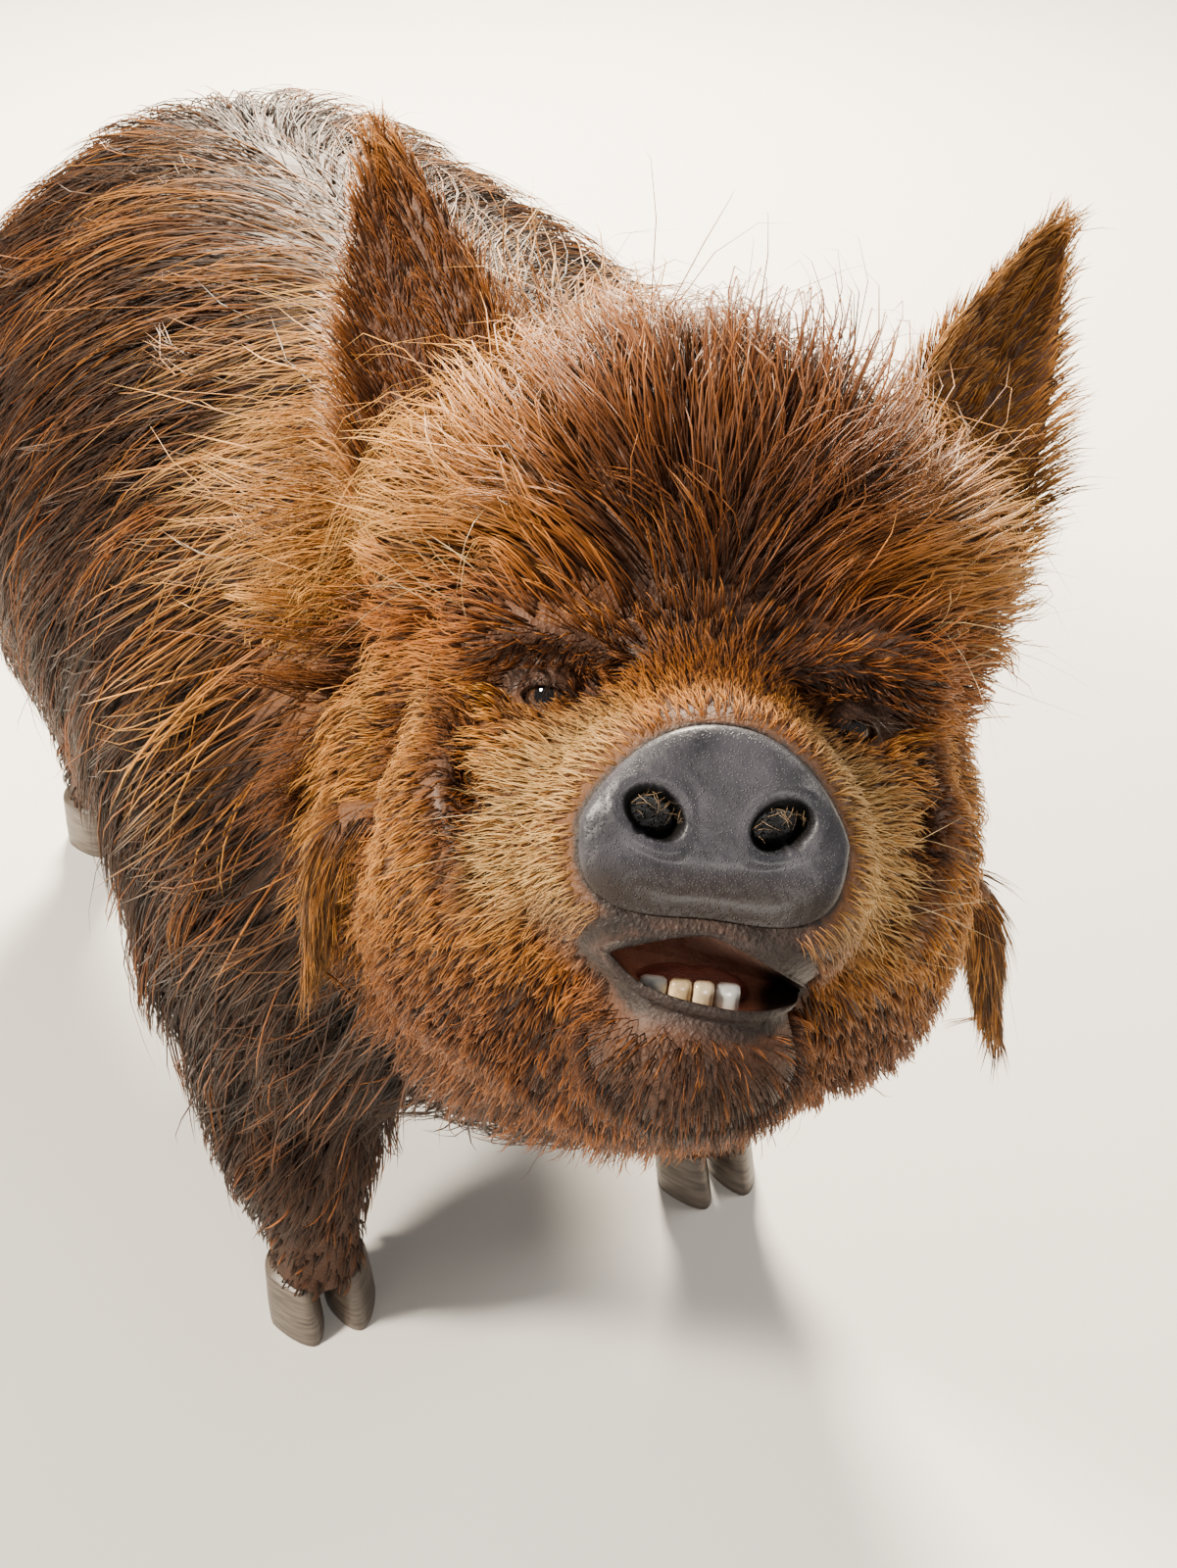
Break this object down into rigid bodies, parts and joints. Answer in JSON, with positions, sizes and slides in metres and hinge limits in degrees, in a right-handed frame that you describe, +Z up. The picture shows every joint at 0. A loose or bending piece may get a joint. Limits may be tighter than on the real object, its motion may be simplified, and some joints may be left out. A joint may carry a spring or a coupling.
{
  "type": "kunekune pig",
  "caption": "Still, life-size kunekune pig standing with its head raised, long ginger coat, jaw wattles, pricked ears and open mouth.",
  "frame": {"origin": "centre of the pig's bounding box at floor level, under the soles", "axes": "+Z up, -Y the way the body faces, +X the pig's left side"},
  "size_m": [0.4896, 1.1686, 0.7914],
  "materials": {
    "coat": "long coarse hair, wet and clumped",
    "skin": "thick skin with short hair",
    "disc": "moist, finely pored",
    "tongue": "wet",
    "horn": "dark horn, finely grooved",
    "eye": "wet, glossy"
  },
  "bodies": {
    "root": {"head": "coat", "jaw": "skin", "snout_disc": "disc", "tongue": "tongue", "eye_left": "eye", "eye_right": "eye", "ear_left": "coat", "ear_right": "coat", "wattle_left": "coat", "wattle_right": "coat", "neck": "coat", "shoulders": "coat", "barrel": "coat", "rump": "coat", "tail": "coat", "foreleg_left": "coat", "foreleg_right": "coat", "hindleg_left": "coat", "hindleg_right": "coat", "hoof_fore_left_inner": "horn", "hoof_fore_left_outer": "horn", "hoof_fore_right_inner": "horn", "hoof_fore_right_outer": "horn", "hoof_hind_left_inner": "horn", "hoof_hind_left_outer": "horn", "hoof_hind_right_inner": "horn", "hoof_hind_right_outer": "horn"}
  },
  "joints": []
}
